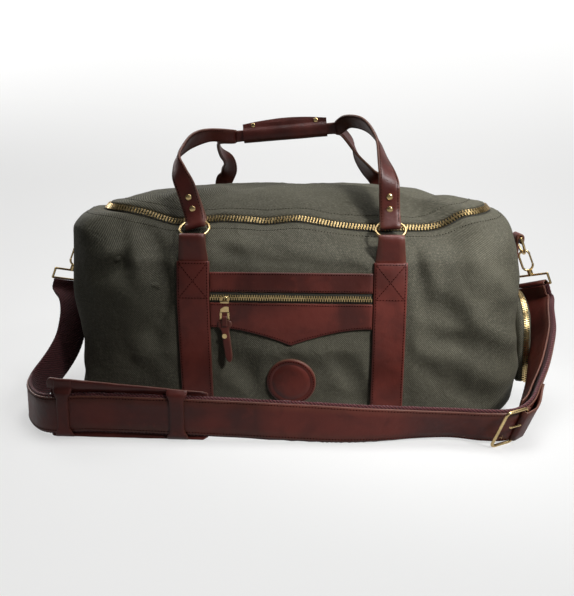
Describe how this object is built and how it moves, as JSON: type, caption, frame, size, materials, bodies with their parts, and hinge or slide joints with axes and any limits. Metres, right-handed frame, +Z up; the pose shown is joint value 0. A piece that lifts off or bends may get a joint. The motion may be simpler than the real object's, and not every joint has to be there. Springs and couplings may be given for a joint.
{
  "type": "weekender bag",
  "caption": "Soft boxy weekender bag of waxed canvas with leather straps, a zip-round lid, twin handles in a snapped grip, zip pockets and a clip-on shoulder strap.",
  "frame": {"origin": "middle of the base, on the floor", "axes": "+X to the right along the bag, +Y from front to back, +Z up"},
  "size_m": [0.6894, 0.3523, 0.3777],
  "materials": {
    "canvas": "waxed twill canvas, dark olive grey",
    "leather": "smooth burgundy brown leather",
    "brass": "pale polished brass",
    "zip_tape": "woven zip tape",
    "lining": "plain cotton lining",
    "board": "stiff base board",
    "webbing": "thick twill webbing"
  },
  "bodies": {
    "bag": {"front_panel": "canvas", "back_panel": "canvas", "left_end_panel": "canvas", "right_end_panel": "canvas", "base_panel": "canvas", "base_board": "board", "lining": "lining", "hinge_binding": "canvas", "zip_tape_body": "zip_tape", "zip_teeth_body": "brass", "front_left_strap": "leather", "front_right_strap": "leather", "back_left_strap": "leather", "back_right_strap": "leather", "front_chapes": "leather", "back_chapes": "leather", "pocket_strip": "leather", "pocket_zip_tape": "zip_tape", "pocket_zip_teeth": "brass", "pocket_apron": "leather", "pocket_bag": "lining", "round_patch": "leather", "left_end_tab": "leather", "right_end_tab": "leather", "end_rings": "brass", "end_pocket": "canvas", "end_pocket_zip": "brass", "left_hook": "brass", "right_hook": "brass", "strap_webbing": "webbing", "strap_facing": "leather", "buckle_frame": "brass"},
    "lid": {"lid_panel": "canvas", "zip_tape_lid": "zip_tape", "zip_teeth_lid": "brass"},
    "front_handle": {"front_handle_strap": "leather", "front_handle_folds": "leather", "front_rivets": "brass", "front_rings": "brass", "grip_wrap": "leather", "grip_snaps": "brass"},
    "grip_flap": {"grip_flap": "leather"},
    "back_handle": {"back_handle_strap": "leather", "back_handle_folds": "leather", "back_rivets": "brass", "back_rings": "brass"},
    "pocket_slider": {"pocket_slider": "brass"},
    "pocket_puller": {"pocket_puller": "brass"},
    "pull_tab": {"pull_tab": "leather", "pull_stud": "brass"},
    "main_slider": {"main_slider": "brass"},
    "main_puller": {"main_puller": "brass"},
    "end_slider": {"end_slider": "brass"},
    "end_puller": {"end_puller": "brass"},
    "left_gate": {"left_gate": "brass"},
    "right_gate": {"right_gate": "brass"},
    "buckle_prong": {"buckle_prong": "brass"},
    "shoulder_pad": {"shoulder_pad": "leather"}
  },
  "joints": [
    {"name": "lid_open", "type": "hinge", "parent": "bag", "child": "lid", "pos_m": [0, 0.094, 0.245], "axis": [-1, 0, 0], "range_deg": [0, 70]},
    {"name": "front_handle_swing", "type": "hinge", "parent": "bag", "child": "front_handle", "pos_m": [0, -0.1345, 0.229], "axis": [1, 0, 0], "range_deg": [0, 169], "deforming": ["front_chapes"]},
    {"name": "back_handle_swing", "type": "hinge", "parent": "bag", "child": "back_handle", "pos_m": [0, 0.1345, 0.229], "axis": [-1, 0, 0], "range_deg": [0, 169], "deforming": ["back_chapes"]},
    {"name": "grip_flap_open", "type": "hinge", "parent": "front_handle", "child": "grip_flap", "pos_m": [-0.0153, 0, 0.34703], "axis": [-0.9968, 0, -0.0802], "range_deg": [0, 120], "deforming": ["grip_flap"]},
    {"name": "pocket_zip_slide", "type": "slide", "parent": "bag", "child": "pocket_slider", "axis": [1, 0, 0], "range_m": [0, 0.17]},
    {"name": "pocket_puller_swing", "type": "hinge", "parent": "pocket_slider", "child": "pocket_puller", "pos_m": [-0.0807, -0.1392, 0.157], "axis": [-1, 0, 0], "range_deg": [0, 100]},
    {"name": "pull_tab_swing", "type": "hinge", "parent": "pocket_puller", "child": "pull_tab", "pos_m": [-0.0807, -0.1392, 0.1303], "axis": [-1, 0, 0], "range_deg": [0, 70]},
    {"name": "main_zip_slide", "type": "slide", "parent": "bag", "child": "main_slider", "axis": [0, -1, 0], "range_m": [0, 0.085]},
    {"name": "main_puller_lift", "type": "hinge", "parent": "main_slider", "child": "main_puller", "pos_m": [-0.244, 0.0425, 0.2526], "axis": [0, 1, 0], "range_deg": [0, 110]},
    {"name": "end_zip_slide", "type": "slide", "parent": "bag", "child": "end_slider", "axis": [0, 0, 1], "range_m": [0, 0.036]},
    {"name": "end_puller_swing", "type": "hinge", "parent": "end_slider", "child": "end_puller", "pos_m": [0.3033, 0.0699, 0.045], "axis": [1, 0, 0], "range_deg": [0, 100]},
    {"name": "left_gate_press", "type": "hinge", "parent": "bag", "child": "left_gate", "pos_m": [-0.32111, 0, 0.1817], "axis": [0, 1, 0], "range_deg": [0, 22], "stiffness_Nm_per_rad": 0.02},
    {"name": "right_gate_press", "type": "hinge", "parent": "bag", "child": "right_gate", "pos_m": [0.32111, 0, 0.1817], "axis": [0, -1, 0], "range_deg": [0, 22], "stiffness_Nm_per_rad": 0.02},
    {"name": "prong_lift", "type": "hinge", "parent": "bag", "child": "buckle_prong", "pos_m": [0.26489, -0.19636, 0.0265], "axis": [0, 0, 1], "range_deg": [0, 110]},
    {"name": "pad_slide", "type": "slide", "parent": "bag", "child": "shoulder_pad", "axis": [1, 0, 0], "range_m": [0, 0.1]}
  ],
  "couplings": [
    {"joint": "front_handle_swing", "follows": "lid_open", "ratio": 2.4},
    {"joint": "back_handle_swing", "follows": "lid_open", "ratio": 2.4},
    {"joint": "grip_flap_open", "follows": "lid_open", "ratio": 1.7}
  ]
}
